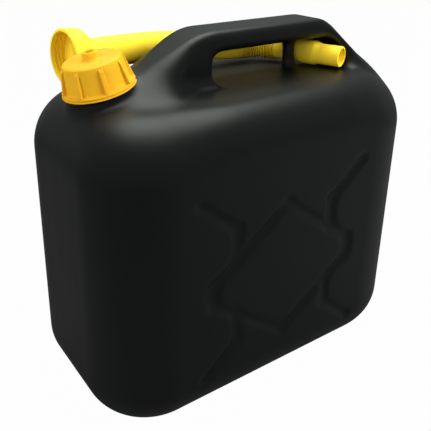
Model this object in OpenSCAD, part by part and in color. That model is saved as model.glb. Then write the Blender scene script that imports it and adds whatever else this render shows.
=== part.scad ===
// Plastic fuel can with a moulded handle, a screw cap and a flexible spout
// stored through the handle. Millimetres, +Z up, length along X with the neck
// at -X. The origin lies on the floor under the middle of the can.

/* [Can] */
// Length of the can at the floor
can_length = 320; // [300:1:340]
// Width of the can
can_width = 181; // [170:1:195]
// Height of the shoulder on which the handle stands
shoulder_height = 249; // [235:1:260]
// Height of the handle over the shoulder
handle_height = 41; // [38:0.5:46]
// Wall thickness of the moulding
wall = 2.4; // [1.8:0.1:3]
// Plan radius of the two vertical edges at the neck end
front_edge_radius = 56; // [48:1:60]
// Plan radius of the two vertical edges at the far end
rear_edge_radius = 74; // [60:1:80]
// Radius that rounds the end walls into the shoulder
shoulder_radius = 43; // [36:1:46]
// The same radius along the long sides beside the handle
side_shoulder_radius = 31; // [27:1:36]
// Radius that rounds the side walls into the base
base_radius = 39; // [30:1:44]
// Lean of the neck end, as a share of the height
front_lean = 0.052; // [0:0.002:0.08]
// Lean of the far end, as a share of the height
rear_lean = 0.014; // [0:0.002:0.03]

/* [Handle] */
// Thickness of the handle across the can
handle_width = 41; // [34:1:46]
// Height of the grip bar over the finger opening
bar_height = 15; // [13:0.5:18]
// Thickness of the bar where it runs down behind the opening
bar_rear = 7.8; // [7:0.1:8.4]
// Distance from the neck end to the start of the handle's level top
handle_front_x = 126; // [118:1:132]
// Distance from the far end to the end of the handle's level top
handle_rear_x = 69; // [64:1:76]
// Rise of the ramp from the neck to the handle, in degrees
ramp_angle = 28; // [24:1:32]
// Fall of the slope behind the handle, in degrees
rear_angle = 42; // [38:1:46]
// Radius along the top edges of the handle
handle_edge = 7; // [5:0.5:9]
// Radius at the foot of the handle
handle_foot = 9; // [6:0.5:11]

/* [Finger opening] */
// Distance of the opening's front end behind the start of the level top
opening_front_x = 7; // [4:0.5:14]
// Distance of the opening's rear end behind the end of the level top
opening_rear_x = 19.5; // [17:0.5:22]
// Radius of the two lower corners of the opening
opening_low_radius = 12; // [8:1:14]
// Radius of the two upper corners of the opening
opening_top_radius = 8; // [5:1:9]
// Distance of the upright web ahead of the end of the level top
web_x = 25; // [23:1:31]
// Width of the web along the can
web_width = 11; // [9:1:12]
// Thickness of the web, two walls pressed together
web_thickness = 4.2; // [3.6:0.2:5]

/* [Neck] */
// Distance that the cap's flange keeps from the ramp, along the can
neck_x = 1.02; // [0.6:0.02:4]
// Height of the cap's lower rim over the shoulder
neck_z = 9.5; // [7:0.5:13]
// Tilt of the neck towards the front, in degrees
neck_tilt = 12; // [8:1:15]
// Radius of the opening through the neck
neck_bore_radius = 15.5; // [14:0.25:16.5]
// Wall of the neck at its thread
neck_wall = 2.8; // [2.2:0.1:3.2]
// Height of the neck above the cap's lower rim
neck_height = 15; // [13:0.5:17]

/* [Cap] */
// Height of the cap's top over the rim of the neck
cap_height = 6.2; // [5:0.2:8]
// Radius of the flange at the foot of the cap
cap_flange_radius = 26.8; // [26:0.2:29]
// Thickness of the flange
cap_flange_height = 2.2; // [1.6:0.2:3]
// Radius of the cap's skirt at its foot
cap_foot_radius = 23.4; // [23:0.2:24.5]
// Radius of the cap's skirt at its top edge
cap_top_radius = 21.2; // [21:0.2:22.4]
// Bevel round the top of the cap
cap_bevel = 1.3; // [0.8:0.1:1.6]
// Number of grip ribs round the cap
rib_count = 10; // [8:1:14]
// Thickness of a grip rib
rib_width = 3; // [2:0.2:3.6]
// Radius of the knob on top of the cap
knob_radius = 5.6; // [4.5:0.1:6.5]
// Height of the knob
knob_height = 5.2; // [3:0.2:6]
// Thickness of the soft disc in the cap
seal_thickness = 1.8; // [1.4:0.1:2.2]
// Free play between the cap and the neck, all round
cap_play = 0.5; // [0.4:0.1:0.8]

/* [Spout] */
// Outer radius of the spout's screw cup
cup_radius = 21.4; // [21:0.2:22.6]
// Length of the straight part of the cup
cup_length = 13; // [12:1:15]
// Length of the cup's sloping shoulder
cup_shoulder = 12; // [10:1:15]
// Outer radius of the tube behind the cup
tube_radius = 11.8; // [11:0.2:12.4]
// Outer radius of the tube beyond the bellows
nozzle_radius = 10.6; // [10:0.2:11]
// Outer radius of the tip
tip_radius = 9.4; // [9:0.1:9.8]
// Length of the narrow tip
tip_length = 18; // [14:1:22]
// Wall of the spout
spout_wall = 1.5; // [1.2:0.1:2]
// Number of folds in the bellows
fold_count = 11; // [7:1:12]
// Depth of a fold
fold_depth = 1.3; // [0.8:0.1:1.6]
// Bend radius of the bellows
bend_radius = 30; // [26:1:34]

/* [Side grooves] */
// Half length of the diamond pressed into each side
diamond_half_length = 70; // [60:1:74]
// Half height of the diamond
diamond_half_height = 59; // [50:1:62]
// Height of the diamond's middle
diamond_z = 115; // [110:1:120]
// Width of a groove
groove_width = 7; // [5:0.5:8]
// Depth of a groove
groove_depth = 1.2; // [0.8:0.1:1.4]

/* [Hidden] */

half_length = can_length / 2;
half_width = can_width / 2;
half_handle = handle_width / 2;
side_lean = 0.008;
wall_draft = 0.4;
crest_blend = 7;
ramp_blend = 6;
handle_top = shoulder_height + handle_height;
level_front = -half_length + handle_front_x;
level_rear = half_length - handle_rear_x;
flare_front_x = level_front - 12;
flare_front_run = 48;
flare_front = [16, 22, 26];
flare_rear_x = level_rear - 11;
flare_rear_run = 56;
flare_rear = [38, 26, 20];
opening_front = level_front + opening_front_x;
opening_rear = level_rear + opening_rear_x;
web_at = level_rear - web_x;
opening_roof = handle_top - bar_height;
floor_step = 0.8;
spout_play = 1.6;
opening_floor = min(shoulder_height + floor_step, opening_roof - 2 * tube_radius - spout_play);
web_fillet = 5;
web_root = 1;

ramp_foot = level_front - handle_height / tan(ramp_angle);
flange_rise = neck_z + cap_flange_radius * sin(neck_tilt);
neck_at = [ramp_foot + flange_rise / tan(ramp_angle) - cap_flange_radius * cos(neck_tilt) - neck_x,
  0, shoulder_height + neck_z];
neck_radius = neck_bore_radius + neck_wall;
neck_seat_gap = 0.8;
collar_radius = cap_flange_radius - 2;
collar_height = 1.4;
collar_spread = 10;
collar_depth = 20;
flat_play = 0.15;
cap_bore_radius = neck_radius + cap_play;
seal_radius = cap_bore_radius - 0.4;
seal_z = neck_height + flat_play;
cap_roof_z = seal_z + seal_thickness + flat_play;
cap_top_z = neck_height + cap_height;
rib_top_gap = 1.6;
rib_reach = 0.6;
rib_turn = 11;
knob_hole_radius = knob_radius - 2.4;
knob_hole_depth = 2.6;

spout_lift = 1.05;
spout_arch = 3.4;
spout_beside = 6.8;
spout_ahead = 5;
cup_swing = 5;
swing_length = 50;
cup_seat_x = 5;
spout_y = cap_flange_radius + spout_beside + cup_radius;
spout_start = [neck_at[0] - spout_ahead, spout_y, max(cup_seat(0), cup_seat(cup_radius / 4)) + spout_lift];
spout_reach = max(nozzle_radius, tip_radius);
spout_behind = spout_reach - 5.5;
spout_back = spout_reach + 1.9;
spout_proud = 11.5;
spout_turn = 8.6;
spout_aside = 24.5;
floor_play = 0.4;
tip_play = 0.2;
tip_fall = 1;
spout_corner = [web_at + spout_reach - spout_turn, half_handle + spout_aside,
  opening_floor + max(tube_radius, nozzle_radius) + floor_play];
spout_end = [
  min(slope_at(opening_floor + 2 * tip_radius, bar_rear) - spout_behind, opening_rear - spout_back),
  -half_handle - spout_proud,
  opening_floor + max(tube_radius - tip_fall, spout_reach + tip_play)];
spout_sides = 24;
cup_floor = 2;
cup_rim = 0.7;
bellows_margin = 2;
tip_step = 7;

groove_centre_x = -4.5;
groove_slope = 0.735;
arm_reach = [78, 76];
arm_knee = [48, 50];

// Values that ease between 0 and 1, and joins that round the corner where two
// lines meet.
function ease(t) = let (c = max(0, min(1, t))) c * c * (3 - 2 * c);
function above_zero(v, k) = v > k ? v : v < -k ? 0 : (v + k) * (v + k) / (4 * k);
function lower_of(a, b, k) = a - above_zero(a - b, k);
function unit(v) = v / norm(v);

// How far a rounded edge of radius r has fallen at distance p from the wall.
function edge_drop(r, p) = p >= r ? 0 : r - sqrt(max(0, r * r - pow(r - max(p, 0), 2)));

// Distance of a plan point from the can's outline, whose corners are round.
function corner_inset(e, s, r) = e < r && s < r ? r - norm([r - e, r - s]) : min(e, s);
function plan_inset(u, y) = min(
  corner_inset(half_length + u, half_width - abs(y), front_edge_radius),
  corner_inset(half_length - u, half_width - abs(y), rear_edge_radius));

// The tank is a box with round edges. d is how far a skin lies inside it.
function tank_half(u, d) = half_width - d - max(
  edge_drop(front_edge_radius - d, half_length + u - d),
  edge_drop(rear_edge_radius - d, half_length - u - d));
function shoulder_round(u) = shoulder_radius - (shoulder_radius - side_shoulder_radius)
  * ease((u + 0.36 * can_length) / 70) * ease((0.36 * can_length - u) / 60);
function tank_top(u, y, d) = shoulder_height - d
  - edge_drop(shoulder_round(u) - d, plan_inset(u, y) - d);

// Height of the cup's axis where the cup touches the shoulder y beside that axis.
function cup_seat(y) = tank_top(neck_at[0] - cup_seat_x, spout_y - 0.6 * cup_swing - y, 0)
  + sqrt(cup_radius * cup_radius - y * y);

function tank_base(u, y, d) = d + edge_drop(base_radius - d, plan_inset(u, y) - d);

// The ends lean in towards the top.
function lean(u) = front_lean * (0.5 - u / can_length) - rear_lean * (0.5 + u / can_length);
function at_shoulder(u) = u + shoulder_height * lean(u);
function skewed(u, p) = [u + p[1] * lean(u), p[0] * (1 - side_lean * p[1] / half_width), p[1]];

// The crest runs up the ramp, along the handle and down the rear slope.
function crest(x) = lower_of(
  lower_of(handle_top, handle_top + (x - level_front) * tan(ramp_angle), crest_blend),
  handle_top - (x - level_rear) * tan(rear_angle), crest_blend);
function crest_rise(u) = above_zero(crest(at_shoulder(u)) - tank_top(u, 0, 0), ramp_blend);

// Half width, edge radius and foot radius of the crest, which spreads out at
// both ends.
function crest_shape(x, d) = let (
    f = ease((flare_front_x - x) / flare_front_run),
    b = ease((x - flare_rear_x) / flare_rear_run),
    s = [half_handle, handle_edge, handle_foot] + f * flare_front + b * flare_rear)
  [s[0] - d, max(s[1] - d, 1), s[2] + d];

// Half of a cross-section, from the middle of the base round to the crest.
function half_section(u, d, n) = let (
    w = tank_half(u, d),
    c = crest_shape(at_shoulder(u), d),
    h = crest_rise(u),
    s = min(1, h / (c[1] + c[2])),
    foot = c[0] + wall_draft + c[2],
    reach = min(foot, 0.8 * w),
    q = reach / foot)
  concat(
    [for (k = [0:n + 1]) let (y = w * sin(90 * k / (n + 1))) [y, tank_base(u, y, d)]],
    [for (k = [0:n - 1]) let (y = reach + (w - reach) * cos(90 * k / n)) [y, tank_top(u, y, d)]],
    [for (k = [0:n - 2]) let (a = 90 * k / (n - 2), y = q * (foot - c[2] * sin(a)))
      [y, tank_top(u, y, d) + s * c[2] * (1 - cos(a))]],
    [for (k = [0:n - 2]) let (a = 90 * k / (n - 2), y = q * (c[0] - c[1] * (1 - cos(a))))
      [y, tank_top(u, y, d) + h - s * c[1] * (1 - sin(a))]],
    [[0, tank_top(u, 0, d) + h]]);

function section(u, d, n) = let (half = half_section(u, d, n))
  [for (p = concat(half, [for (k = [len(half) - 2:-1:1]) [-half[k][0], half[k][1]]])) skewed(u, p)];

// Where the cross-sections stand: close together round the two ends.
function stations(d, n) = let (f = front_edge_radius - d, r = rear_edge_radius - d, m = 3 * n)
  concat(
    [for (k = [0:n]) -half_length + d + f * (1 - cos(90 * k / n))],
    [for (k = [1:m - 1]) -half_length + d + f + (can_length - 2 * d - f - r) * k / m],
    [for (k = [n:-1:0]) half_length - d - r * (1 - cos(90 * k / n))]);

// Faces between the points of two neighbouring rings of n points.
function band(a, b, n) = [for (k = [0:n - 1]) let (j = (k + 1) % n)
  each [[a + k, b + k, b + j], [a + k, b + j, a + j]]];

// A closed skin through the cross-sections, with a fan over each end.
module can_skin(d, n) {
  rings = [for (u = stations(d, n)) section(u, d, n)];
  count = len(rings[0]);
  last = len(rings) * count;
  tail = last - count;
  first_mid = (rings[0][0] + rings[0][count / 2]) / 2;
  tail_mid = (rings[len(rings) - 1][0] + rings[len(rings) - 1][count / 2]) / 2;
  polyhedron(
    points = concat([for (r = rings) each r], [first_mid, tail_mid]),
    faces = concat(
      [for (k = [0:len(rings) - 2]) each band(k * count, (k + 1) * count, count)],
      [for (k = [0:count - 1]) [last, k, (k + 1) % count]],
      [for (k = [0:count - 1]) [last + 1, tail + (k + 1) % count, tail + k]]));
}

function arc(c, r, from, to) = [for (k = [0:6]) let (a = from + (to - from) * k / 6)
  c + r * [cos(a), sin(a)]];

// Where a line that lies t inside the rear slope is at height z.
function slope_at(z, t) = level_rear + (handle_top - t / cos(rear_angle) - z) / tan(rear_angle);

// Outline of the opening through the handle, grown by g all round.
function opening_outline(g) = let (
    height = opening_roof - opening_floor,
    low = min(opening_low_radius, 0.5 * height) + g,
    top = min(opening_top_radius, 0.4 * height) + g,
    x0 = opening_front - g,
    x1 = opening_rear + g,
    z0 = opening_floor - g,
    z1 = opening_roof + g,
    fall = tan(rear_angle),
    rear_z = z1 - fall * (x1 - slope_at(z1, bar_rear - g)),
    back = min(low, rear_z - z0))
  concat(
    arc([x0 + low, z0 + low], low, 180, 270),
    arc([x1 - back, z0 + back], back, 270, 360),
    [[x1, rear_z]],
    [[slope_at(z1, bar_rear - g), z1]],
    arc([x0 + top, z1 - top], top, 90, 180));

// Extrudes a drawing in X and Z along Y, centred on the can.
module across(thickness) {
  rotate([90, 0, 0])
    linear_extrude(height = thickness, center = true)
      children();
}

module handle_opening(g) {
  across(can_width + 2 * wall)
    polygon(opening_outline(g));
}

// The pinched web that divides the opening, spread where it meets the can.
module opening_web() {
  side = web_width / 2;
  z0 = opening_floor;
  z1 = opening_roof;
  across(web_thickness)
    translate([web_at, 0])
      polygon(concat(
        [[-side - web_fillet, z0 - web_root], [side + web_fillet, z0 - web_root]],
        arc([side + web_fillet, z0 + web_fillet], web_fillet, 270, 180),
        arc([side + web_fillet, z1 - web_fillet], web_fillet, 180, 90),
        [[side + web_fillet, z1 + web_root], [-side - web_fillet, z1 + web_root]],
        arc([-side - web_fillet, z1 - web_fillet], web_fillet, 90, 0),
        arc([-side - web_fillet, z0 + web_fillet], web_fillet, 0, -90)));
}

// Places its children on the neck: Z along the neck, 0 at the cap's lower rim.
module on_neck() {
  translate(neck_at)
    rotate([0, -neck_tilt, 0])
      children();
}

// The neck and the hollow-sided collar that it stands on.
module neck() {
  z = -neck_seat_gap - collar_height;
  on_neck()
    rotate_extrude()
      polygon(concat(
        [[0, z - collar_depth]],
        [for (k = [0:5]) let (a = 90 * k / 5)
          [collar_radius + collar_spread * (1 - sin(a)), z - collar_depth * cos(a)]],
        [[collar_radius, -neck_seat_gap], [neck_radius, -neck_seat_gap],
         [neck_radius, neck_height], [0, neck_height]]));
}

// A round-ended stroke of the groove pattern.
module stroke(a, b) {
  run = b - a;
  translate(a)
    rotate(atan2(run[1], run[0])) {
      translate([0, -groove_width / 2])
        square([norm(run), groove_width]);
      circle(d = groove_width, $fn = 8);
    }
  translate(b)
    circle(d = groove_width, $fn = 8);
}

// One quarter of the pattern: an edge of the diamond, its blunt corner and an arm.
module groove_quarter() {
  corner = [diamond_half_length, diamond_half_height - groove_slope * diamond_half_length];
  knee_foot = [arm_knee[0], diamond_half_height - groove_slope * arm_knee[0]];
  stroke([0, diamond_half_height], corner);
  stroke(corner, [diamond_half_length, 0]);
  stroke(knee_foot, arm_knee);
  stroke(arm_knee, arm_reach);
}

// The pattern lies on both side walls, which lean in by side_lean.
module side_grooves() {
  face = half_width - side_lean * diamond_z - groove_depth;
  for (m = [0, 1])
    mirror([0, m, 0])
      translate([groove_centre_x, -face, diamond_z])
        rotate([90 - atan(side_lean), 0, 0])
          linear_extrude(height = shoulder_radius)
            for (i = [0, 1], j = [0, 1])
              mirror([i, 0])
                mirror([0, j])
                  groove_quarter();
}

module can_body() {
  color("#17181a")
    union() {
      difference() {
        union() {
          can_skin(0, 7);
          neck();
        }
        difference() {
          can_skin(wall, 5);
          handle_opening(wall);
        }
        handle_opening(0);
        side_grooves();
        on_neck()
          translate([0, 0, -collar_depth])
            cylinder(r = neck_bore_radius, h = collar_depth + neck_height + 1);
      }
      opening_web();
    }
}

module cap_shell() {
  rotate_extrude()
    polygon([
      [cap_bore_radius, 0],
      [cap_flange_radius, 0],
      [cap_flange_radius, cap_flange_height],
      [cap_foot_radius, cap_flange_height],
      [cap_top_radius, cap_top_z - cap_bevel],
      [cap_top_radius - cap_bevel, cap_top_z],
      [0, cap_top_z],
      [0, cap_roof_z],
      [cap_bore_radius, cap_roof_z]]);
}

// A grip rib: flush with the skirt at the top, out to the flange at the foot.
module cap_rib() {
  rotate([90, 0, 0])
    linear_extrude(height = rib_width, center = true)
      polygon([
        [cap_bore_radius + 1, cap_flange_height / 2],
        [cap_flange_radius - rib_reach, cap_flange_height / 2],
        [cap_flange_radius - rib_reach, cap_flange_height],
        [cap_top_radius + rib_reach, cap_top_z - cap_bevel - rib_top_gap],
        [cap_bore_radius + 1, cap_top_z - cap_bevel - rib_top_gap]]);
}

module screw_cap() {
  color("#f2c414")
    on_neck()
      difference() {
        union() {
          cap_shell();
          for (k = [0:rib_count - 1])
            rotate(360 * k / rib_count + rib_turn)
              cap_rib();
          translate([0, 0, cap_roof_z])
            cylinder(r = knob_radius, h = cap_top_z - cap_roof_z + knob_height);
        }
        translate([0, 0, cap_top_z + knob_height - knob_hole_depth])
          cylinder(r = knob_hole_radius, h = knob_hole_depth + 1);
      }
}

module cap_seal() {
  color("#2b2b2b")
    on_neck()
      translate([0, 0, seal_z])
        cylinder(r = seal_radius, h = seal_thickness);
}

// The spout's path: from the cup, which swings towards the neck, round the bend
// and straight to the tip.
path_in = unit(spout_corner - spout_start);
path_out = unit(spout_end - spout_corner);
path_turn = unit(path_out - (path_out * path_in) * path_in);
bend_angle = acos(path_in * path_out);
bend_cut = bend_radius * tan(bend_angle / 2);
bend_length = bend_radius * bend_angle * PI / 180;
run_in = norm(spout_corner - spout_start) - bend_cut;
run_out = norm(spout_end - spout_corner) - bend_cut;
bend_end = run_in + bend_length;
spout_length = bend_end + run_out;

function path_angle(s) = max(0, min(bend_angle, (s - run_in) / bend_radius * 180 / PI));
function swing(s) = max(0, 1 - s / swing_length);
function path_direction(s) = let (a = path_angle(s))
  unit(cos(a) * path_in + sin(a) * path_turn + [0, 2 * cup_swing / swing_length * swing(s), 0]);
function path_point(s) = let (a = path_angle(s))
  spout_start + min(s, run_in) * path_in
  + [0, -cup_swing * pow(swing(s), 2), spout_arch * pow(sin(180 * min(s, run_in) / run_in), 2)]
  + bend_radius * (sin(a) * path_in + (1 - cos(a)) * path_turn)
  + max(0, s - bend_end) * path_out;

// A ring of points round the path at distance s with radius r.
function spout_ring(p) = let (
    t = path_direction(p[0]),
    across_path = unit(cross(t, [0, 0, 1])),
    upright = cross(t, across_path))
  [for (k = [0:spout_sides - 1]) let (a = 360 * k / spout_sides)
    path_point(p[0]) + p[1] * (cos(a) * across_path + sin(a) * upright)];

// Distances and radii along the outside, from the rim of the cup to the tip.
tube_start = cup_length + cup_shoulder;
bellows_start = run_in - bellows_margin;
fold_pitch = (bend_length + 2 * bellows_margin) / fold_count;
spout_outside = concat(
  [[0, cup_radius - cup_rim], [cup_rim, cup_radius], [cup_length, cup_radius]],
  [for (k = [1:5]) let (t = k / 5)
    [cup_length + cup_shoulder * t, cup_radius + (tube_radius - cup_radius) * ease(t)]],
  [for (k = [1:5]) [tube_start + k / 6 * (bellows_start - tube_start), tube_radius]],
  [for (k = [0:fold_count - 1]) let (s = bellows_start + k * fold_pitch) each [
    [s, tube_radius - fold_depth],
    [s + 0.3 * fold_pitch, tube_radius],
    [s + 0.7 * fold_pitch, tube_radius]]],
  [[bellows_start + fold_count * fold_pitch, nozzle_radius - fold_depth / 4],
   [bend_end + 2 * bellows_margin, nozzle_radius],
   [spout_length - tip_length - tip_step, nozzle_radius],
   [spout_length - tip_length, tip_radius],
   [spout_length - cup_rim, tip_radius],
   [spout_length, tip_radius - cup_rim]]);

// The same along the inside, back from the tip to the rim of the cup.
bellows_bore = min(nozzle_radius, tube_radius - fold_depth) - spout_wall;
spout_inside = concat(
  [[spout_length, tip_radius - spout_wall],
   [spout_length - tip_length, tip_radius - spout_wall],
   [spout_length - tip_length - tip_step, bellows_bore]],
  [for (k = [8:-1:0]) [bellows_start + k * (bend_end - bellows_start) / 8, bellows_bore]],
  [for (k = [5:-1:1]) [tube_start + k / 6 * (bellows_start - tube_start), tube_radius - spout_wall]],
  [[tube_start, tube_radius - spout_wall],
   [cup_length + cup_floor, tube_radius - spout_wall],
   [cup_length - cup_floor, cap_bore_radius],
   [0, cap_bore_radius]]);

module pouring_spout() {
  rings = concat(spout_outside, spout_inside);
  n = spout_sides;
  color("#f2c414")
    polyhedron(
      points = [for (p = rings) each spout_ring(p)],
      faces = [for (k = [0:len(rings) - 1]) each band(k * n, ((k + 1) % len(rings)) * n, n)]);
}

can_body();
screw_cap();
cap_seal();
pouring_spout();
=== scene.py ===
"""Plastic fuel can: the moulded skin, screw cap, stored spout, their plastics and the studio."""

import math

import bmesh
import bpy
import numpy as np
from mathutils import Matrix, Vector


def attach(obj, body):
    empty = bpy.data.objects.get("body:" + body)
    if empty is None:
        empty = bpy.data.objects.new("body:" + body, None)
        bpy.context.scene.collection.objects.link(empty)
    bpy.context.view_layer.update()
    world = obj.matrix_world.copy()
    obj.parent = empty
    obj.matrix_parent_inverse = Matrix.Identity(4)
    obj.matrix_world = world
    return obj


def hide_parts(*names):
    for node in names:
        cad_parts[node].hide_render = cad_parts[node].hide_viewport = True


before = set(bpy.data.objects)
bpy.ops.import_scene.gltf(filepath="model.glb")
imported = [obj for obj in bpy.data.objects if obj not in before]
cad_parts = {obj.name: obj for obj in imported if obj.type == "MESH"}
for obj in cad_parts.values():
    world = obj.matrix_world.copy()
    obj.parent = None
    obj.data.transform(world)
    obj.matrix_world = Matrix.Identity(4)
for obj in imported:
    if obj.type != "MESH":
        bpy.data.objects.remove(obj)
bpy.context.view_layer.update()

MM = 0.001

# Sizes of the tank in millimetres, near those of the part's source.
CAN_LENGTH = 320.0
CAN_WIDTH = 181.0
SHOULDER = 249.0
SHOULDER_CROWN = 0.9
CROWN_HALF_WIDTH = 70.0
FRONT_EDGE = 56.0
REAR_EDGE = 74.0
BASE_ROUND = 39.0
BASE_ENDS = 120.0
FRONT_LEAN = 0.052
REAR_LEAN = 0.014
SIDE_LEAN = 0.008

# The shoulder's round is smaller along the sides than at the two ends.
SHOULDER_ROUND = 43.0
SIDE_SHOULDER_ROUND = 31.0
SIDE_ROUND_HALF = 0.36 * CAN_LENGTH
SIDE_ROUND_FRONT_FADE = 70.0
SIDE_ROUND_REAR_FADE = 60.0

# The handle, a fin over the tank.
HANDLE_TOP = 290.5
HANDLE_FRONT = -34.0
HANDLE_REAR = 91.0
HANDLE_HALF = 20.5
HANDLE_EDGE = 7.0
HANDLE_LEAST_FLAT = 1.0
HANDLE_FOOT = 11.0
HANDLE_FLOOR = 238.0
HANDLE_FLOOR_BLEND = 10.0
HANDLE_INSET = 22.0
HANDLE_REAR_INSET = 16.0
HANDLE_INSET_BLEND = 12.0
RAMP_SLOPE = math.tan(math.radians(28.0))
RAMP_BREAK = 7.0
REAR_ANGLE = math.radians(42.0)
REAR_SLOPE = math.tan(REAR_ANGLE)
REAR_BREAK = 9.0

# Towards the ramp's foot and the rear slope's foot the handle grows wider, rounder and softer.
RAMP_FROM = HANDLE_FRONT - 3.0
RAMP_REACH = 48.0
RAMP_WIDER = 15.0
RAMP_ROUNDER = 24.0
RAMP_SOFTER = 10.0
REAR_FROM = HANDLE_REAR - 4.0
REAR_REACH = 52.0
REAR_WIDER = 27.0
REAR_ROUNDER = 24.0
REAR_SOFTER = 2.0

# The finger opening, the bar behind it and the web that stands in it.
OPENING_FRONT = -25.0
OPENING_REAR = 110.5
OPENING_ROOF = 275.0
OPENING_FRONT_ROUND = 11.0
OPENING_REAR_ROUND = 5.0
OPENING_JOIN = 4.0
OPENING_RIM = 6.0
BAR_REAR = 7.8
WEB_X = 66.0
WEB_HALF = (4.6, 1.1)
WEB_ROUND = 1.0
WEB_LOW = 240.0
WEB_HIGH = 280.0
WEB_FOOT = 8.0

# The grooves pressed into both sides: a diamond with cut corners and four bent arms.
GROOVE_AT = (-4.5, 115.0)
DIAMOND_HIGH = 59.0
DIAMOND_SLOPE = 0.735
DIAMOND_CUT = 68.5
DIAMOND_HALF = 70.0
ARM_ROOT = (48.0, 24.0)
ARM_KNEE = (47.0, 50.0)
ARM_END = (79.0, 77.0)
GROOVE_HALF = 6.2
GROOVE_DEPTH = 2.5
GROOVE_MERGE = 7.0
GROOVE_SIDE = 55.0
GROOVE_SIDE_FADE = 15.0

# The neck's frame, with its origin on the neck's axis inside the cap's flange, and the collar below it.
NECK_AT = np.array([-110.0, 0.0, 258.5])
NECK_TILT = math.radians(12.0)
NECK_UP = np.array([-math.sin(NECK_TILT), 0.0, math.cos(NECK_TILT)])
NECK_BACK = np.array([math.cos(NECK_TILT), 0.0, math.sin(NECK_TILT)])
NECK_MATRIX = Matrix.Translation(Vector(NECK_AT * MM)) @ Matrix.Rotation(-NECK_TILT, 4, "Y")
COLLAR_RADIUS = 24.4
COLLAR_HIGH = -1.0
COLLAR_LOW = -26.0
COLLAR_ROUND = 1.0
COLLAR_FOOT = 7.0


# The shape of the can, as distances in millimetres, negative inside.


def ease(t):
    c = np.clip(t, 0.0, 1.0)
    return c * c * (3.0 - 2.0 * c)


def soft_min(a, b, k):
    h = np.maximum(k - np.abs(a - b), 0.0) / k
    return np.minimum(a, b) - h * h * k * 0.25


def soft_max(a, b, k):
    return -soft_min(-a, -b, k)


def rounded_corner(a, b, r):
    """Two faces at right angles, a and b outside distances, meeting in a round edge."""
    p = a + r
    q = b + r
    return np.minimum(np.maximum(p, q), 0.0) + np.hypot(np.maximum(p, 0.0), np.maximum(q, 0.0)) - r


def upright(x, y, z):
    """A point of the leaning can as a point of the same can with upright walls."""
    mean_lean = (FRONT_LEAN - REAR_LEAN) / 2.0
    spread = (FRONT_LEAN + REAR_LEAN) / CAN_LENGTH
    u = (x - mean_lean * z) / (1.0 - spread * z)
    v = y / (1.0 - SIDE_LEAN * z / (CAN_WIDTH / 2.0))
    return u, v


def wall_distance(u, v):
    side = np.abs(v) - CAN_WIDTH / 2.0
    front = rounded_corner(-CAN_LENGTH / 2.0 - u, side, FRONT_EDGE)
    rear = rounded_corner(u - CAN_LENGTH / 2.0, side, REAR_EDGE)
    return np.maximum(front, rear)


def tank(y, z, u, wall):
    front_fade = ease((u + SIDE_ROUND_HALF) / SIDE_ROUND_FRONT_FADE)
    rear_fade = ease((SIDE_ROUND_HALF - u) / SIDE_ROUND_REAR_FADE)
    top_round = SHOULDER_ROUND - (SHOULDER_ROUND - SIDE_SHOULDER_ROUND) * front_fade * rear_fade
    crown = SHOULDER_CROWN * np.clip(1.0 - (y / CROWN_HALF_WIDTH) ** 2, 0.0, 1.0)
    top = rounded_corner(wall, z - SHOULDER - crown, top_round)
    base = rounded_corner(wall, -z, BASE_ROUND)
    return np.where(z > BASE_ENDS, top, base)


def crest(x):
    """The height of the handle's upper side."""
    ramp = HANDLE_TOP + (x - HANDLE_FRONT) * RAMP_SLOPE
    rear = HANDLE_TOP - (x - HANDLE_REAR) * REAR_SLOPE
    top = soft_min(np.full_like(x, HANDLE_TOP), ramp, RAMP_BREAK)
    return soft_min(top, rear, REAR_BREAK)


def finger_opening(x, z):
    mouth = soft_max(OPENING_FRONT - x, z - OPENING_ROOF, OPENING_FRONT_ROUND)
    under_slope = (z - HANDLE_TOP + (x - HANDLE_REAR) * REAR_SLOPE) * math.cos(REAR_ANGLE)
    end = soft_max(x - OPENING_REAR, under_slope + BAR_REAR, OPENING_REAR_ROUND)
    return soft_max(mouth, end, OPENING_JOIN)


def handle(x, y, z, wall):
    """The fin that carries the ramp, the grip bar and the rear slope, and the round of its foot."""
    front = ease((RAMP_FROM - x) / RAMP_REACH)
    rear = ease((x - REAR_FROM) / REAR_REACH)
    half = HANDLE_HALF + RAMP_WIDER * front + REAR_WIDER * rear
    edge = np.minimum(HANDLE_EDGE + RAMP_ROUNDER * front + REAR_ROUNDER * rear, half - HANDLE_LEAST_FLAT)
    foot = HANDLE_FOOT + RAMP_SOFTER * front + REAR_SOFTER * rear
    inset = HANDLE_INSET + (HANDLE_REAR_INSET - HANDLE_INSET) * rear
    slope = crest(x + 0.5) - crest(x - 0.5)
    over = (z - crest(x)) / np.sqrt(1.0 + slope * slope)
    fin = rounded_corner(np.abs(y) - half, over, edge)
    fin = soft_max(fin, wall + inset, HANDLE_INSET_BLEND)
    fin = soft_max(fin, HANDLE_FLOOR - z, HANDLE_FLOOR_BLEND)
    return soft_max(fin, -finger_opening(x, z), OPENING_RIM), foot


def web(x, y, z):
    """The thin upright wall in the finger opening."""
    along = np.maximum(np.abs(x - WEB_X) - WEB_HALF[0], 0.0)
    across = np.maximum(np.abs(y) - WEB_HALF[1], 0.0)
    return np.maximum(np.hypot(along, across) - WEB_ROUND, np.maximum(z - WEB_HIGH, WEB_LOW - z))


def collar(x, y, z):
    dx = x - NECK_AT[0]
    dz = z - NECK_AT[2]
    along = dx * NECK_UP[0] + dz * NECK_UP[2]
    out = np.hypot(dx * NECK_BACK[0] + dz * NECK_BACK[2], y)
    ends = np.maximum(along - COLLAR_HIGH, COLLAR_LOW - along)
    return rounded_corner(out - COLLAR_RADIUS, ends, COLLAR_ROUND)


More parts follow.
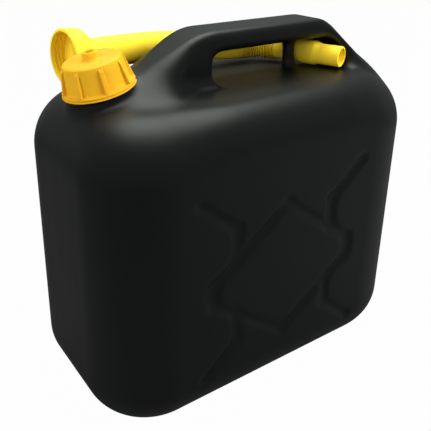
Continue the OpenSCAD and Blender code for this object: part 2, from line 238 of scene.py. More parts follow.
def groove_strokes():
    """The diamond and its four arms, as line pieces round its middle."""
    corner = (DIAMOND_CUT, DIAMOND_HIGH - DIAMOND_SLOPE * DIAMOND_CUT)
    diamond = ((0.0, DIAMOND_HIGH), corner, (DIAMOND_HALF, 0.0))
    arm = (ARM_ROOT, ARM_KNEE, ARM_END)
    pieces = []
    for sx in (-1, 1):
        for sz in (-1, 1):
            for line in (diamond, arm):
                for (ax, az), (bx, bz) in zip(line, line[1:]):
                    pieces.append(((ax * sx, az * sz), (bx * sx, bz * sz)))
    return pieces


def groove_depth(x, y, z):
    px = x - GROOVE_AT[0]
    pz = z - GROOVE_AT[1]
    near = np.full_like(x, CAN_LENGTH)
    for (ax, az), (bx, bz) in groove_strokes():
        dx = bx - ax
        dz = bz - az
        t = np.clip(((px - ax) * dx + (pz - az) * dz) / (dx * dx + dz * dz), 0.0, 1.0)
        near = soft_min(near, np.hypot(px - ax - t * dx, pz - az - t * dz), GROOVE_MERGE)
    w = np.clip(1.0 - (np.maximum(near, 0.0) / GROOVE_HALF) ** 2, 0.0, 1.0)
    return GROOVE_DEPTH * w * w * ease((np.abs(y) - GROOVE_SIDE) / GROOVE_SIDE_FADE)


def can_distance(x, y, z):
    u, v = upright(x, y, z)
    wall = wall_distance(u, v)
    fin, foot = handle(x, y, z, wall)
    shape = soft_min(tank(y, z, u, wall), fin, foot)
    shape = soft_min(shape, web(x, y, z), WEB_FOOT)
    shape = soft_min(shape, collar(x, y, z), COLLAR_FOOT)
    return shape + groove_depth(x, y, z)


# A quad skin on the zero surface of a distance function.

PULL_ROUNDS = 4
PULL_LIMIT = 0.6
PROBE = 0.05
LEAST_SLOPE = 0.2


def cell_vertices(field, inside):
    """The middle of each crossed cell's crossings, counted in cells, and the number of its vertex."""
    n = [size - 1 for size in field.shape]

    def corner(grid, at):
        return grid[tuple(slice(first, first + size) for first, size in zip(at, n))]

    total = np.zeros(n + [3])
    count = np.zeros(n)
    for start in np.ndindex(2, 2, 2):
        for axis in range(3):
            if start[axis]:
                continue
            end = list(start)
            end[axis] = 1
            here = corner(field, start)
            there = corner(field, end)
            crossed = corner(inside, start) != corner(inside, end)
            point = np.zeros(n + [3]) + np.array(start, float)
            point[..., axis] = np.where(crossed, here / np.where(crossed, here - there, 1.0), 0.0)
            total += np.where(crossed[..., None], point, 0.0)
            count += crossed
    active = count > 0
    index = np.full(n, -1)
    index[active] = np.arange(active.sum())
    return np.argwhere(active) + total[active] / count[active][:, None], index


def crossing_quads(inside, index, axis):
    """A quad round each grid edge along an axis that crosses the surface, turned outwards."""
    u = (axis + 1) % 3
    v = (axis + 2) % 3
    n = index.shape
    first = np.delete(inside, -1, axis)
    second = np.delete(inside, 0, axis)
    ids = np.argwhere(first != second)
    ids = ids[(ids[:, u] > 0) & (ids[:, v] > 0) & (ids[:, u] < n[u]) & (ids[:, v] < n[v])]
    du, dv = np.eye(3, dtype=int)[[u, v]]
    quads = np.stack([index[tuple(c.T)] for c in (ids - du - dv, ids - dv, ids, ids - du)], axis=1)
    flip = ~first[tuple(ids.T)]
    quads[flip] = quads[flip][:, ::-1]
    return quads


def pulled_to_surface(distance, verts, limit):
    """Vertices moved along the slope of the distance until they lie on its zero surface."""
    for _ in range(PULL_ROUNDS):
        x, y, z = verts.T
        rise = np.stack([distance(x + PROBE, y, z) - distance(x - PROBE, y, z),
                         distance(x, y + PROBE, z) - distance(x, y - PROBE, z),
                         distance(x, y, z + PROBE) - distance(x, y, z - PROBE)], axis=1)
        slope = rise / (2.0 * PROBE)
        share = distance(x, y, z) / np.maximum((slope * slope).sum(1), LEAST_SLOPE)
        verts = verts + np.clip(-share[:, None] * slope, -limit, limit)
    return verts


def surface_net(distance, low, high, step):
    axes = [np.arange(a, b + step, step) for a, b in zip(low, high)]
    field = distance(*np.meshgrid(*axes, indexing="ij"))
    inside = field < 0.0
    verts, index = cell_vertices(field, inside)
    faces = np.concatenate([crossing_quads(inside, index, axis) for axis in range(3)])
    return pulled_to_surface(distance, verts * step + np.array(low), PULL_LIMIT * step), faces


# Mesh helpers.

ON_AXIS = 1e-6
SAME_POINT = 1e-7
FILLET_SHARE = 0.45


def shade_smooth(mesh, sharp_angle):
    mesh.polygons.foreach_set("use_smooth", [True] * len(mesh.polygons))
    if sharp_angle is not None:
        mesh.set_sharp_from_angle(angle=math.radians(sharp_angle))


def new_piece(name, verts, faces, material, sharp_angle=None):
    mesh = bpy.data.meshes.new(name)
    mesh.from_pydata([tuple(v) for v in verts], [], [tuple(int(i) for i in f) for f in faces])
    mesh.validate()
    mesh.materials.append(material)
    shade_smooth(mesh, sharp_angle)
    piece = bpy.data.objects.new(name, mesh)
    bpy.context.scene.collection.objects.link(piece)
    return piece


def fix_normals(piece):
    bm = bmesh.new()
    bm.from_mesh(piece.data)
    bmesh.ops.remove_doubles(bm, verts=bm.verts, dist=SAME_POINT)
    bmesh.ops.recalc_face_normals(bm, faces=bm.faces)
    bm.to_mesh(piece.data)
    bm.free()


def neck_point(radius, angle, height):
    """A point given round the neck's axis in millimetres, as a place in the scene."""
    return NECK_MATRIX @ Vector((radius * math.cos(angle) * MM, radius * math.sin(angle) * MM, height * MM))


def turned(profile, sides):
    """A profile of (radius, height) pairs in millimetres turned round the neck's axis."""
    verts, faces, rings = [], [], []
    for r, z in profile:
        copies = 1 if r < ON_AXIS else sides
        rings.append(list(range(len(verts), len(verts) + copies)))
        for k in range(copies):
            verts.append(neck_point(r, 2.0 * math.pi * k / sides, z))
    for a, b in zip(rings, rings[1:]):
        for k in range(sides):
            j = (k + 1) % sides
            quad = [a[k % len(a)], a[j % len(a)], b[j % len(b)], b[k % len(b)]]
            face = list(dict.fromkeys(quad))
            if len(face) > 2:
                faces.append(face)
    return verts, faces


def filleted(points, radius, steps=4):
    """A polyline with its inner corners rounded, by less than half of each stretch."""
    out = [points[0]]
    for before, corner, after in zip(points, points[1:], points[2:]):
        before, corner, after = (np.array(p, float) for p in (before, corner, after))
        back = before - corner
        ahead = after - corner
        back_length = np.linalg.norm(back)
        ahead_length = np.linalg.norm(ahead)
        cut = min(radius, FILLET_SHARE * back_length, FILLET_SHARE * ahead_length)
        start = corner + back / back_length * cut
        end = corner + ahead / ahead_length * cut
        for k in range(steps + 1):
            t = k / steps
            out.append(tuple((1 - t) ** 2 * start + 2 * t * (1 - t) * corner + t * t * end))
    out.append(points[-1])
    return out


# Node trees.


class Value:
    """A socket that takes part in sums."""

    def __init__(self, net, socket):
        self.net = net
        self.socket = socket

    def _math(self, operation, a, b):
        return self.net.node("ShaderNodeMath", {"operation": operation}, {0: a, 1: b})

    def __add__(self, other):
        return self._math("ADD", self, other)

    def __radd__(self, other):
        return self._math("ADD", other, self)

    def __sub__(self, other):
        return self._math("SUBTRACT", self, other)

    def __rsub__(self, other):
        return self._math("SUBTRACT", other, self)

    def __mul__(self, other):
        return self._math("MULTIPLY", self, other)

    def __rmul__(self, other):
        return self._math("MULTIPLY", other, self)

    def __truediv__(self, other):
        return self._math("DIVIDE", self, other)


class Net:
    """A node tree under construction."""

    def __init__(self, tree):
        self.tree = tree
        tree.nodes.clear()

    def node(self, kind, settings=None, inputs=None, output=0):
        """Makes a node, sets it up, fills or links its sockets and gives back one of its outputs."""
        made = self.tree.nodes.new(kind)
        for key, value in (settings or {}).items():
            setattr(made, key, value)
        for key, value in (inputs or {}).items():
            if isinstance(value, Value):
                self.tree.links.new(value.socket, made.inputs[key])
            else:
                made.inputs[key].default_value = value
        if not made.outputs:
            return None
        return Value(self, made.outputs[output])


class Finish(Net):
    """A material under construction."""

    def __init__(self, name):
        self.material = bpy.data.materials.new(name)
        self.material.use_nodes = True
        super().__init__(self.material.node_tree)

    def place(self):
        return self.node("ShaderNodeTexCoord", output="Object")

    def stretched(self, at, scale):
        return self.node("ShaderNodeMapping", {}, {"Vector": at, "Scale": scale})

    def noise(self, at, scale=1.0, detail=3.0, roughness=0.5):
        return self.node("ShaderNodeTexNoise", {}, {
            "Vector": at, "Scale": scale, "Detail": detail, "Roughness": roughness})

    def ramp(self, value, low, high):
        return self.node("ShaderNodeMapRange", {"interpolation_type": "SMOOTHSTEP"},
                         {"Value": value, "From Min": low, "From Max": high})

    def blend(self, factor, a, b):
        return self.node("ShaderNodeMix", {"data_type": "RGBA"}, {0: factor, 6: a, 7: b}, output=2)

    def bump(self, height, strength, depth):
        """A bump whose depth is given in millimetres."""
        return self.node("ShaderNodeBump", {}, {
            "Strength": strength, "Distance": depth * MM, "Height": height})

    def surface(self, shader):
        self.node("ShaderNodeOutputMaterial", {}, {"Surface": shader})
        return self.material


# The plastics and the rubber.

DEEP_BLACK = (0.0016, 0.0017, 0.0019, 1.0)
WORN_BLACK = (0.0026, 0.0028, 0.0028, 1.0)
SCUFF_GREY = (0.055, 0.056, 0.055, 1.0)
CAP_LIGHT = (0.74, 0.395, 0.016, 1.0)
CAP_DEEP = (0.70, 0.355, 0.014, 1.0)
CAP_ROUGHNESS = 0.40
SPOUT_LIGHT = (0.97, 0.71, 0.040, 1.0)
SPOUT_DEEP = (0.94, 0.64, 0.032, 1.0)
SPOUT_ROUGHNESS = 0.38
SPECK_BROWN = (0.30, 0.17, 0.02, 1.0)
RUBBER_DARK = (0.020, 0.020, 0.020, 1.0)
RUBBER_LIGHT = (0.040, 0.040, 0.038, 1.0)

# Where the parting line fades beside the middle plane and the scuffs above the base, in metres.
SEAM_FADE = (0.0003, 0.0009)
SCUFF_FADE = (0.002, 0.030)


def black_plastic():
    """Blow-moulded black plastic: skin texture, flow streaks, a parting line and scuffs near the base."""
    net = Finish("black_moulded_plastic")
    at = net.place()
    y = net.node("ShaderNodeSeparateXYZ", {}, {"Vector": at}, output="Y")
    z = net.node("ShaderNodeSeparateXYZ", {}, {"Vector": at}, output="Z")
    skin = net.noise(at, scale=900.0, detail=2.0)
    waves = net.noise(at, scale=38.0, detail=2.0)
    streaks = net.noise(net.stretched(at, (90.0, 90.0, 7.0)))
    patches = net.noise(at, scale=14.0, detail=4.0, roughness=0.6)
    scratch = net.noise(net.stretched(at, (30.0, 160.0, 900.0)), detail=2.0)
    from_middle = net.node("ShaderNodeMath", {"operation": "ABSOLUTE"}, {0: y})
    seam = 1.0 - net.ramp(from_middle, *SEAM_FADE)
    low = 1.0 - net.ramp(z, *SCUFF_FADE)
    scuffs = low * net.ramp(patches, 0.5, 0.68)
    lines = net.ramp(scratch, 0.70, 0.76) * net.ramp(patches, 0.45, 0.7)
    colour = net.blend(0.35 * patches, DEEP_BLACK, WORN_BLACK)
    colour = net.blend(0.22 * scuffs + 0.06 * lines, colour, SCUFF_GREY)
    rough = 0.36 + 0.10 * patches + 0.05 * streaks + 0.22 * scuffs + 0.10 * lines
    height = 0.05 * skin + 0.5 * waves + 0.35 * streaks + 0.35 * seam - 0.15 * lines
    return net.surface(net.node("ShaderNodeBsdfPrincipled", {}, {
        "Base Color": colour, "Roughness": rough, "Normal": net.bump(height, strength=0.10, depth=1.1),
        "IOR": 1.5, "Specular IOR Level": 0.30}))


def yellow_plastic(name, light, deep, rough_base):
    """Injection-moulded yellow plastic: slight mottling, wipe marks, a soft texture and a few specks."""
    net = Finish(name)
    at = net.place()
    mottle = net.noise(at, scale=60.0, detail=4.0, roughness=0.6)
    skin = net.noise(at, scale=1400.0, detail=2.0)
    wipe = net.noise(net.stretched(at, (60.0, 60.0, 300.0)))
    specks = net.ramp(net.noise(at, scale=420.0, detail=2.0), 0.70, 0.76)
    colour = net.blend(net.ramp(mottle, 0.35, 0.7), light, deep)
    colour = net.blend(0.25 * specks, colour, SPECK_BROWN)
    rough = rough_base + 0.10 * mottle + 0.08 * wipe
    height = 0.06 * skin + 0.3 * mottle
    return net.surface(net.node("ShaderNodeBsdfPrincipled", {}, {
        "Base Color": colour, "Roughness": rough, "Normal": net.bump(height, strength=0.10, depth=0.8),
        "IOR": 1.48, "Specular IOR Level": 0.20, "Subsurface Weight": 0.12,
        "Subsurface Radius": (0.006, 0.003, 0.0006), "Subsurface Scale": 0.6}))


def seal_rubber():
    net = Finish("seal_rubber")
    grain = net.noise(net.place(), scale=700.0)
    colour = net.blend(grain, RUBBER_DARK, RUBBER_LIGHT)
    return net.surface(net.node("ShaderNodeBsdfPrincipled", {}, {
        "Base Color": colour, "Roughness": 0.62 + 0.2 * grain,
        "Normal": net.bump(grain, strength=0.2, depth=0.3)}))


CAN_BLACK = black_plastic()
CAP_YELLOW = yellow_plastic("cap_yellow_plastic", CAP_LIGHT, CAP_DEEP, CAP_ROUGHNESS)
SPOUT_YELLOW = yellow_plastic("spout_yellow_plastic", SPOUT_LIGHT, SPOUT_DEEP, SPOUT_ROUGHNESS)
SEAL_BLACK = seal_rubber()


# The can: its skin, the neck and the thread on the neck.

SKIN_LOW = (-166.0, -96.0, -5.0)
SKIN_HIGH = (166.0, 96.0, 297.0)
SKIN_STEP = 2.35

NECK_BORE = 15.5
NECK_RADIUS = 18.3
NECK_TOP = 15.0
NECK_LOW = -26.0
LEDGE_RADIUS = 22.0

THREAD_RADIUS = 18.05
THREAD_HEIGHT = 0.75
THREAD_HALF = 0.9
THREAD_LOW = 3.2
THREAD_HIGH = 13.2
THREAD_PITCH = 5.0
THREAD_STEPS = 60
THREAD_FADE = 0.08
THREAD_SECTION = ((-1.0, 0.0), (-0.55, 0.75), (0.0, 1.0), (0.55, 0.75), (1.0, 0.0))


def neck_profile():
    """Up the bore, over the lip, down the outside and out on the ledge above the collar."""
    return [(NECK_BORE, NECK_LOW), (NECK_BORE, NECK_TOP - 0.8), (NECK_BORE + 0.4, NECK_TOP),
            (NECK_RADIUS - 0.6, NECK_TOP), (NECK_RADIUS, NECK_TOP - 0.6), (NECK_RADIUS, -0.6),
            (LEDGE_RADIUS, -0.9), (LEDGE_RADIUS, -6.0)]


def build_thread():
    """A round-topped thread ridge on the neck, fading in and out at its ends."""
    verts, faces = [], []
    turns = (THREAD_HIGH - THREAD_LOW) / THREAD_PITCH
    steps = int(turns * THREAD_STEPS)
    for i in range(steps + 1):
        t = i / steps
        fade = float(ease(min(t, 1.0 - t) / THREAD_FADE))
        for along, out in THREAD_SECTION:
            radius = THREAD_RADIUS + out * THREAD_HEIGHT * fade
            height = THREAD_LOW + THREAD_PITCH * turns * t + along * THREAD_HALF
            verts.append(neck_point(radius, 2.0 * math.pi * turns * t, height))
    m = len(THREAD_SECTION)
    for i in range(steps):
        for k in range(m):
            j = (k + 1) % m
            faces.append([i * m + k, (i + 1) * m + k, (i + 1) * m + j, i * m + j])
    faces.append(list(range(m)))
    faces.append(list(range(steps * m, steps * m + m))[::-1])
    return new_piece("neck_thread", verts, faces, CAN_BLACK, sharp_angle=50.0)


def build_can():
    verts, faces = surface_net(can_distance, SKIN_LOW, SKIN_HIGH, SKIN_STEP)
    can = new_piece("can_skin", verts * MM, faces, CAN_BLACK)
    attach(can, "can")
    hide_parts("can_body")
    verts, faces = turned(filleted(neck_profile(), radius=0.5), sides=72)
    neck = new_piece("can_neck", verts, faces, CAN_BLACK, sharp_angle=40.0)
    fix_normals(neck)
    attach(neck, "can")
    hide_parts("can_body")
    thread = build_thread()
    fix_normals(thread)
    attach(thread, "can")
    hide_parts("can_body")


# The cap: its shell with a grooved flange, the hollow knob on top and the grip ribs.

CAP_TOP = 21.2
CAP_CEILING = 17.25
CAP_BORE = 18.9
FLANGE_TOP = 2.3
FLANGE_LOW = -0.7
FLANGE_RADIUS = 26.9
BEAD_RADIUS = 26.5
FLANGE_GROOVE = 25.9

KNOB_RADIUS = 5.7
KNOB_TOP = 26.4
KNOB_DIMPLE = 23.8
KNOB_FOOT = 6.6
KNOB_SUNK = 20.2

CAP_RIBS = 8
RIB_TURN = math.radians(-10.0)
RIB_HALF = 1.5
RIB_ROOT = 19.4
RIB_LOW = 1.4
RIB_TOP = 18.6
RIB_FOOT = 26.3
RIB_BEVEL = 0.6
RIB_BEVEL_FROM = 20.5


def cap_profile():
    """From the middle of the top down the skirt, round the flange and up inside to the ceiling."""
    return [(0.0, CAP_TOP), (19.6, CAP_TOP), (21.1, CAP_TOP - 1.1), (23.3, FLANGE_TOP + 0.7),
            (23.9, FLANGE_TOP), (BEAD_RADIUS, FLANGE_TOP), (BEAD_RADIUS, 0.9), (FLANGE_GROOVE, 0.7),
            (FLANGE_GROOVE, 0.3), (FLANGE_RADIUS, 0.1), (FLANGE_RADIUS, FLANGE_LOW),
            (CAP_BORE, FLANGE_LOW), (CAP_BORE, CAP_CEILING), (0.0, CAP_CEILING)]


def knob_profile():
    """From the bottom of the dimple over the knob's rim and down to its foot, sunk in the cap's top."""
    return [(0.0, KNOB_DIMPLE), (3.1, KNOB_DIMPLE), (3.3, 24.2), (3.5, 26.1), (4.2, KNOB_TOP),
            (5.1, 26.2), (5.5, 25.6), (KNOB_RADIUS, 21.8), (KNOB_FOOT, CAP_TOP - 0.1),
            (KNOB_FOOT, KNOB_SUNK), (0.0, KNOB_SUNK)]


def rib_mesh():
    """One grip rib, a wedge that grows from the skirt's top out to the flange."""
    section = [(RIB_ROOT, RIB_LOW), (RIB_FOOT, RIB_LOW), (RIB_FOOT, 3.0), (RIB_FOOT - 0.4, 4.0),
               (22.9, RIB_TOP - 1.4), (21.9, RIB_TOP), (RIB_ROOT, RIB_TOP)]
    bm = bmesh.new()
    near = [bm.verts.new((r * MM, -RIB_HALF * MM, z * MM)) for r, z in section]
    far = [bm.verts.new((r * MM, RIB_HALF * MM, z * MM)) for r, z in section]
    bm.faces.new(near[::-1])
    bm.faces.new(far)
    for k in range(len(section)):
        j = (k + 1) % len(section)
        bm.faces.new((near[k], near[j], far[j], far[k]))
    bmesh.ops.recalc_face_normals(bm, faces=bm.faces)
    edges = [e for e in bm.edges if min(v.co.x for v in e.verts) > RIB_BEVEL_FROM * MM]
    bmesh.ops.bevel(bm, geom=edges, offset=RIB_BEVEL * MM, segments=3, affect="EDGES", profile=0.6)
    mesh = bpy.data.meshes.new("cap_rib_shape")
    bm.to_mesh(mesh)
    bm.free()
    return mesh


def ring_of_ribs_tree():
    """Geometry nodes: copies of a rib set round a circle, as plain geometry with a material."""
    tree = bpy.data.node_groups.new("ring_of_ribs", "GeometryNodeTree")
    for name, kind in (("Geometry", "NodeSocketGeometry"), ("Rib count", "NodeSocketInt"),
                       ("First rib angle", "NodeSocketFloat"), ("Plastic", "NodeSocketMaterial")):
        tree.interface.new_socket(name, in_out="INPUT", socket_type=kind)
    tree.interface.new_socket("Geometry", in_out="OUTPUT", socket_type="NodeSocketGeometry")
    net = Net(tree)
    rib = net.node("NodeGroupInput", output="Geometry")
    count = net.node("NodeGroupInput", output="Rib count")
    first = net.node("NodeGroupInput", output="First rib angle")
    plastic = net.node("NodeGroupInput", output="Plastic")
    angle = 2.0 * math.pi * (net.node("GeometryNodeInputIndex") / count) + first
    turn = net.node("ShaderNodeCombineXYZ", {}, {"Z": angle})
    points = net.node("GeometryNodePoints", {}, {"Count": count})
    copies = net.node("GeometryNodeInstanceOnPoints", {}, {
        "Points": points, "Instance": rib, "Rotation": turn})
    real = net.node("GeometryNodeRealizeInstances", {}, {"Geometry": copies})
    painted = net.node("GeometryNodeSetMaterial", {}, {"Geometry": real, "Material": plastic})
    net.node("NodeGroupOutput", {}, {"Geometry": painted})
    return tree


def grown(piece, tree, values):
    """Runs a geometry tree on a piece and keeps the result as its plain mesh."""
    modifier = piece.modifiers.new("grow", "NODES")
    modifier.node_group = tree
    sockets = {s.name: s.identifier for s in tree.interface.items_tree if s.in_out == "INPUT"}
    for name, value in values.items():
        modifier[sockets[name]] = value
    bpy.context.view_layer.update()
    deps = bpy.context.evaluated_depsgraph_get()
    mesh = bpy.data.meshes.new_from_object(piece.evaluated_get(deps))
    piece.modifiers.remove(modifier)
    piece.data = mesh


def build_cap():
    verts, faces = turned(filleted(cap_profile(), radius=0.6), sides=96)
    shell = new_piece("cap_shell", verts, faces, CAP_YELLOW, sharp_angle=35.0)
    verts, faces = turned(filleted(knob_profile(), radius=0.4), sides=64)
    knob = new_piece("cap_knob", verts, faces, CAP_YELLOW, sharp_angle=40.0)
    for piece in (shell, knob):
        fix_normals(piece)
    ribs = bpy.data.objects.new("cap_ribs", rib_mesh())
    bpy.context.scene.collection.objects.link(ribs)
    grown(ribs, ring_of_ribs_tree(), {
        "Rib count": CAP_RIBS, "First rib angle": RIB_TURN, "Plastic": CAP_YELLOW})
    ribs.data.transform(NECK_MATRIX)
    shade_smooth(ribs.data, sharp_angle=40.0)
    for piece in (shell, knob, ribs):
        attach(piece, "cap")
        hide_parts("screw_cap")


# The seal, a disc between the neck's lip and the cap's ceiling.

SEAL_RADIUS = 18.4
SEAL_LOW = 15.15
SEAL_HIGH = 16.95
SEAL_EDGE = 0.35


def build_seal():
    face = SEAL_RADIUS - 0.5
    profile = [(0.0, SEAL_LOW), (face, SEAL_LOW), (SEAL_RADIUS, SEAL_LOW + SEAL_EDGE),
               (SEAL_RADIUS, SEAL_HIGH - SEAL_EDGE), (face, SEAL_HIGH), (0.0, SEAL_HIGH)]
    verts, faces = turned(filleted(profile, radius=0.3), sides=72)
    seal = new_piece("cap_seal_disc", verts, faces, SEAL_BLACK, sharp_angle=40.0)
    fix_normals(seal)
    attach(seal, "seal")
    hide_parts("cap_seal")


# The spout: its path beside the handle, then its sizes along and round that path.

SPOUT_START = np.array([-115.0, 55.0, 270.76])
SPOUT_CORNER = np.array([68.0, 45.0, 262.0])
SPOUT_END = np.array([98.0, -32.0, 259.8])
BEND_RADIUS = 30.0
SPOUT_ARCH = 3.4
CUP_SWING = 5.0
SWING_LENGTH = 50.0
SPOUT_SIDES = 64

CUP_RADIUS = 20.6
CUP_DEPTH = 13.0
CUP_BORE = 19.0
CUP_RIDGE = 18.6
CUP_RIDGES_AT = (9.0, 6.2, 3.4)
FUNNEL_LENGTH = 12.0
FUNNEL_START = 0.08
TUBE_FROM = 26.0
TUBE_RADIUS = 11.8
TUBE_TAPER = 0.2
TUBE_WALL = 1.5
BELLOWS_FOLDS = 12
BELLOWS_BEFORE_BEND = 3.0
BELLOWS_AFTER_BEND = 2.0
FOLD = (-1.3, -1.0, -0.2, 0.15, 0.15, -0.2, -1.0)
FOLD_GAP = 0.6
FOLD_STEP = 0.6
NOZZLE_RADIUS = 10.0
NOZZLE_BORE = 8.3
TIP_RADIUS = 8.6
TIP_WALL = 1.7
TIP_LENGTH = 18.0
TIP_STEP = 7.0


def unit(v):
    return v / np.linalg.norm(v)


def between(a, b, parts):
    """Places from a to b, both included."""
    return [a + (b - a) * k / parts for k in range(parts + 1)]


class SpoutPath:
    """From the cup, which swings towards the neck, round the bellows' bend and straight to the tip."""

    def __init__(self):
        self.first = unit(SPOUT_CORNER - SPOUT_START)
        self.second = unit(SPOUT_END - SPOUT_CORNER)
        self.turn = unit(self.second - self.second.dot(self.first) * self.first)
        self.angle = math.acos(float(self.first.dot(self.second)))
        cut = BEND_RADIUS * math.tan(self.angle / 2.0)
        self.run_in = np.linalg.norm(SPOUT_CORNER - SPOUT_START) - cut
        self.bend_end = self.run_in + BEND_RADIUS * self.angle
        self.length = self.bend_end + np.linalg.norm(SPOUT_END - SPOUT_CORNER) - cut

    def at(self, s):
        """The middle of the spout at a distance along it, and the direction ahead."""
        straight = min(s, self.run_in)
        a = min(max((s - self.run_in) / BEND_RADIUS, 0.0), self.angle)
        swing = max(0.0, 1.0 - s / SWING_LENGTH)
        lift = SPOUT_ARCH * math.sin(math.pi * straight / self.run_in) ** 2
        place = SPOUT_START + straight * self.first + np.array([0.0, -CUP_SWING * swing ** 2, lift])
        place = place + BEND_RADIUS * (math.sin(a) * self.first + (1.0 - math.cos(a)) * self.turn)
        place = place + max(0.0, s - self.bend_end) * self.second
        ahead = math.cos(a) * self.first + math.sin(a) * self.turn
        ahead = ahead + np.array([0.0, 2.0 * CUP_SWING / SWING_LENGTH * swing, 0.0])
        return place, unit(ahead)


def spout_outside(start, end, length):
    """(distance, radius) pairs: rim band, cup, funnel, tube, bellows from start to end, nozzle and tip."""
    rows = [(0.0, 19.9), (0.25, 20.9), (0.8, 21.3), (3.4, 21.4), (3.7, 21.0), (11.6, 20.9),
            (CUP_DEPTH, CUP_RADIUS)]
    neck = TUBE_RADIUS + TUBE_TAPER
    for t in between(0.0, 1.0, 10)[1:]:
        fall = float(ease(FUNNEL_START + (1.0 - FUNNEL_START) * t))
        rows.append((CUP_DEPTH + FUNNEL_LENGTH * t, CUP_RADIUS + (neck - CUP_RADIUS) * fall))
    rows += zip(between(TUBE_FROM, start, 16), between(neck, TUBE_RADIUS, 16))
    fold_from = start + FOLD_GAP
    last_fold = NOZZLE_RADIUS + FOLD_STEP
    for k in range(BELLOWS_FOLDS):
        for i, out in enumerate(FOLD):
            t = (k + i / len(FOLD)) / BELLOWS_FOLDS
            crest_radius = TUBE_RADIUS + (last_fold - TUBE_RADIUS) * t
            rows.append((fold_from + (end - fold_from) * t, crest_radius + out))
    rows += [(end + 0.4, NOZZLE_RADIUS - 0.5), (end + 1.4, NOZZLE_RADIUS)]
    step = length - TIP_LENGTH - TIP_STEP
    rows += [(s, NOZZLE_RADIUS) for s in between(end + 1.6, step, 4)[1:]]
    for t in between(0.0, 1.0, 6)[1:]:
        rows.append((step + TIP_STEP * t, NOZZLE_RADIUS + (TIP_RADIUS - NOZZLE_RADIUS) * float(ease(t))))
    rows += [(length - TIP_LENGTH / 2.0, TIP_RADIUS), (length - 0.9, TIP_RADIUS),
             (length - 0.3, TIP_RADIUS - 0.25), (length, TIP_RADIUS - 0.7)]
    return rows


def spout_inside(start, bend_end, length):
    """(distance, radius) pairs back from the tip through the nozzle and the tube to the ridged cup."""
    tip_bore = TIP_RADIUS - TIP_WALL
    tube_bore = TUBE_RADIUS - TUBE_WALL
    rows = [(length, tip_bore + 0.4), (length - 0.5, tip_bore), (length - TIP_LENGTH, tip_bore),
            (length - TIP_LENGTH - TIP_STEP, NOZZLE_BORE)]
    rows += [(s, NOZZLE_BORE) for s in between(bend_end, start, 10)]
    rows += [(s, tube_bore) for s in between(start, TUBE_FROM, 10)]
    rows += [(17.0, tube_bore), (15.6, tube_bore + 0.5), (13.4, 13.4), (12.0, 17.6), (11.0, CUP_BORE)]
    for s in CUP_RIDGES_AT:
        rows += [(s, CUP_BORE), (s - 0.6, CUP_RIDGE), (s - 1.1, CUP_RIDGE), (s - 1.7, CUP_BORE)]
    rows += [(0.6, CUP_BORE), (0.1, CUP_BORE + 0.3)]
    return rows


def build_spout():
    path = SpoutPath()
    start = path.run_in - BELLOWS_BEFORE_BEND
    end = path.bend_end + BELLOWS_AFTER_BEND
    rings = spout_outside(start, end, path.length) + spout_inside(start, path.bend_end, path.length)
    verts, faces = [], []
    for s, r in rings:
        centre, ahead = path.at(s)
        side = unit(np.cross(ahead, (0.0, 0.0, 1.0)))
        up = np.cross(side, ahead)
        for k in range(SPOUT_SIDES):
            a = 2.0 * math.pi * k / SPOUT_SIDES
            verts.append((centre + r * (math.cos(a) * side + math.sin(a) * up)) * MM)
    for i in range(len(rings)):
        here = i * SPOUT_SIDES
        there = (i + 1) % len(rings) * SPOUT_SIDES
        for k in range(SPOUT_SIDES):
            m = (k + 1) % SPOUT_SIDES
            faces.append([here + k, here + m, there + m, there + k])
    spout = new_piece("spout_tube", verts, faces, SPOUT_YELLOW, sharp_angle=45.0)
    fix_normals(spout)
    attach(spout, "can")
    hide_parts("pouring_spout")


build_can()
build_cap()
build_seal()
build_spout()


# The studio: a floor and a world that the camera sees white, four lamps and the camera.

WHITE = (1.0, 1.0, 1.0, 1.0)
FLOOR_SIZE = 6.0
FLOOR_CLOTH = (0.13, 0.13, 0.13, 1.0)
FLOOR_WHITENESS = 0.985
WORLD_FILL = (0.93, 1.0, 0.98, 1.0)
WORLD_STRENGTH = 0.30

CAMERA_AT = Vector((-0.27572, -0.38162, 0.36681))
CAMERA_RIGHT = Vector((0.82064, -0.57144, 0.0))
CAMERA_UP = Vector((0.26181, 0.37600, 0.88886))
CAMERA_BACK = Vector((-0.50794, -0.72943, 0.45818))
CAMERA_LENS = 48.71
CAMERA_SENSOR = 36.0


def pale_floor():
    net = Finish("pale_studio_floor")
    ray = net.node("ShaderNodeLightPath", output="Is Camera Ray")
    cloth = net.node("ShaderNodeBsdfDiffuse", {}, {"Color": FLOOR_CLOTH})
    white = net.node("ShaderNodeEmission", {}, {"Color": WHITE, "Strength": 1.0})
    return net.surface(net.node("ShaderNodeMixShader", {}, {0: FLOOR_WHITENESS * ray, 1: cloth, 2: white}))


def build_floor():
    bpy.ops.mesh.primitive_plane_add(size=FLOOR_SIZE, location=(0.0, 0.0, 0.0))
    floor = bpy.context.object
    floor.name = "studio_floor"
    floor.data.materials.append(pale_floor())


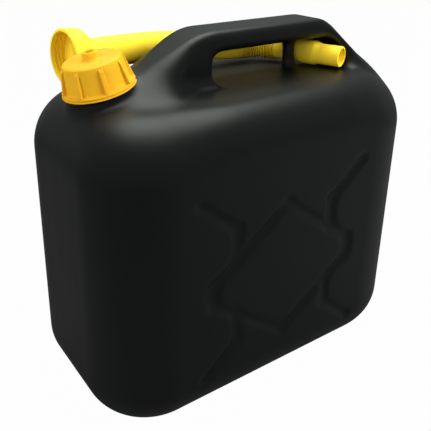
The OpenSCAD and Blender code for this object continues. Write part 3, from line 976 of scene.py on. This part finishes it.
def build_world():
    world = bpy.data.worlds.new("studio")
    bpy.context.scene.world = world
    world.use_nodes = True
    net = Net(world.node_tree)
    ray = net.node("ShaderNodeLightPath", output="Is Camera Ray")
    fill = net.node("ShaderNodeBackground", {}, {"Color": WORLD_FILL, "Strength": WORLD_STRENGTH})
    seen = net.node("ShaderNodeBackground", {}, {"Color": WHITE})
    mixed = net.node("ShaderNodeMixShader", {}, {0: ray, 1: fill, 2: seen})
    net.node("ShaderNodeOutputWorld", {}, {"Surface": mixed})


def area_lamp(name, place, aim, size, power, tint=(1.0, 1.0, 1.0), shines=False):
    """A soft lamp, which shows in reflections only if it shines."""
    lamp = bpy.data.lights.new(name, "AREA")
    lamp.shape = "RECTANGLE"
    lamp.size = size[0]
    lamp.size_y = size[1]
    lamp.energy = power
    lamp.color = tint
    holder = bpy.data.objects.new(name, lamp)
    holder.location = place
    holder.visible_glossy = shines
    holder.rotation_euler = (Vector(aim) - Vector(place)).to_track_quat("-Z", "Y").to_euler()
    bpy.context.scene.collection.objects.link(holder)


def build_lamps():
    area_lamp("overhead_box", place=(0.11, 0.28, 1.20), aim=(0.0, 0.0, 0.2), size=(0.9, 0.8), power=13.0,
              tint=(0.93, 1.0, 0.91), shines=True)
    area_lamp("left_box", place=(-1.70, -0.10, 0.80), aim=(-0.1, 0.0, 0.25), size=(1.4, 1.2), power=26.0)
    area_lamp("right_box", place=(0.90, -0.95, 0.85), aim=(0.45, -0.50, 0.0), size=(0.9, 0.7), power=31.0)
    area_lamp("low_box", place=(0.90, -2.20, 0.55), aim=(0.05, 0.0, 0.25), size=(1.6, 0.9), power=9.0)


def build_camera():
    lens = bpy.data.cameras.new("camera")
    lens.sensor_fit = "HORIZONTAL"
    lens.sensor_width = CAMERA_SENSOR
    lens.lens = CAMERA_LENS
    lens.clip_start = 0.01
    camera = bpy.data.objects.new("camera", lens)
    turn = Matrix((CAMERA_RIGHT, CAMERA_UP, CAMERA_BACK)).transposed().to_4x4()
    camera.matrix_world = Matrix.Translation(CAMERA_AT) @ turn
    bpy.context.scene.collection.objects.link(camera)
    bpy.context.scene.camera = camera
    bpy.context.scene.view_settings.view_transform = "Standard"


build_floor()
build_world()
build_lamps()
build_camera()
